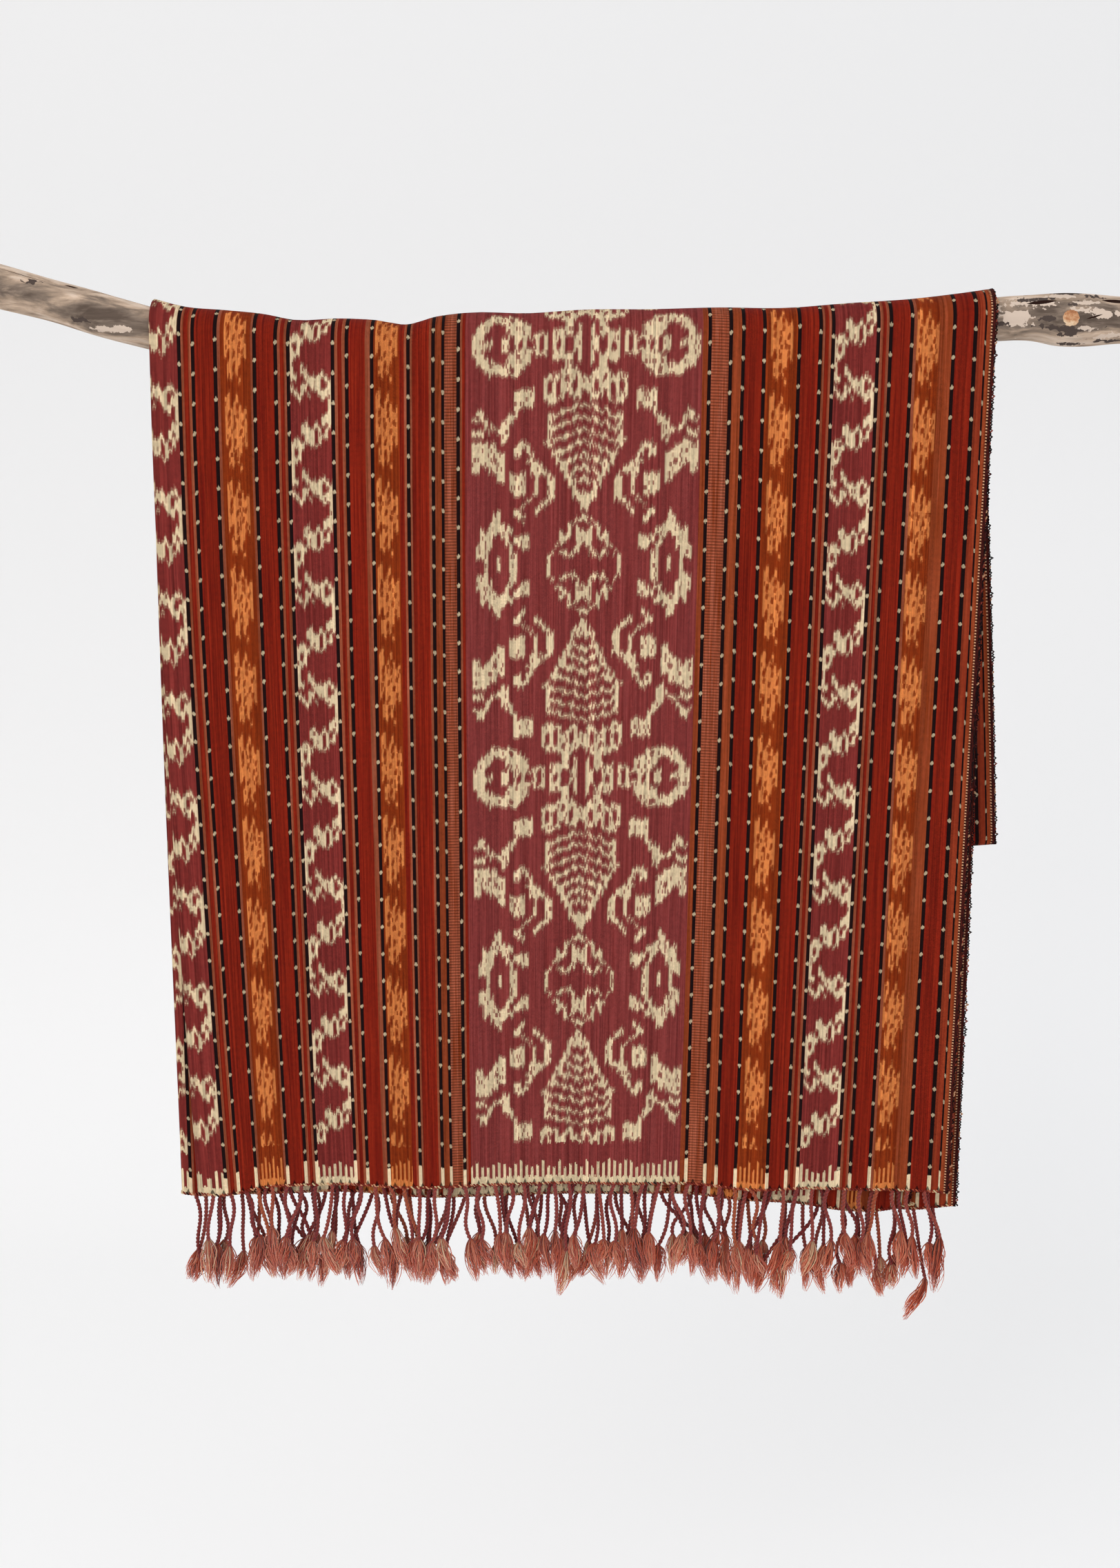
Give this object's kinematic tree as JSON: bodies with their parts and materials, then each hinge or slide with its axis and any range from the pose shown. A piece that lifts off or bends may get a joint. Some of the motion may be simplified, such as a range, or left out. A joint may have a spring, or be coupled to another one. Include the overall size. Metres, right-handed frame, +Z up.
{
  "type": "ikat woven cloth over a driftwood branch",
  "caption": "Fringed warp-ikat cloth, folded in four layers and draped over a driftwood branch with both ends in front.",
  "frame": {"origin": "in the branch, at mid length, near the middle of its section", "axes": "+X along the branch towards the cloth's selvedges, +Z up, -Y towards the viewer in front of the cloth"},
  "size_m": [0.95, 0.0565, 0.8209],
  "materials": {
    "ikat_cotton": "matte warp-faced weave",
    "fringe_cotton": "matte two-ply twist",
    "driftwood": "weathered, bare"
  },
  "bodies": {
    "root": {"cloth": "ikat_cotton", "fringe_outer": "fringe_cotton", "fringe_inner": "fringe_cotton", "branch": "driftwood"}
  },
  "joints": []
}
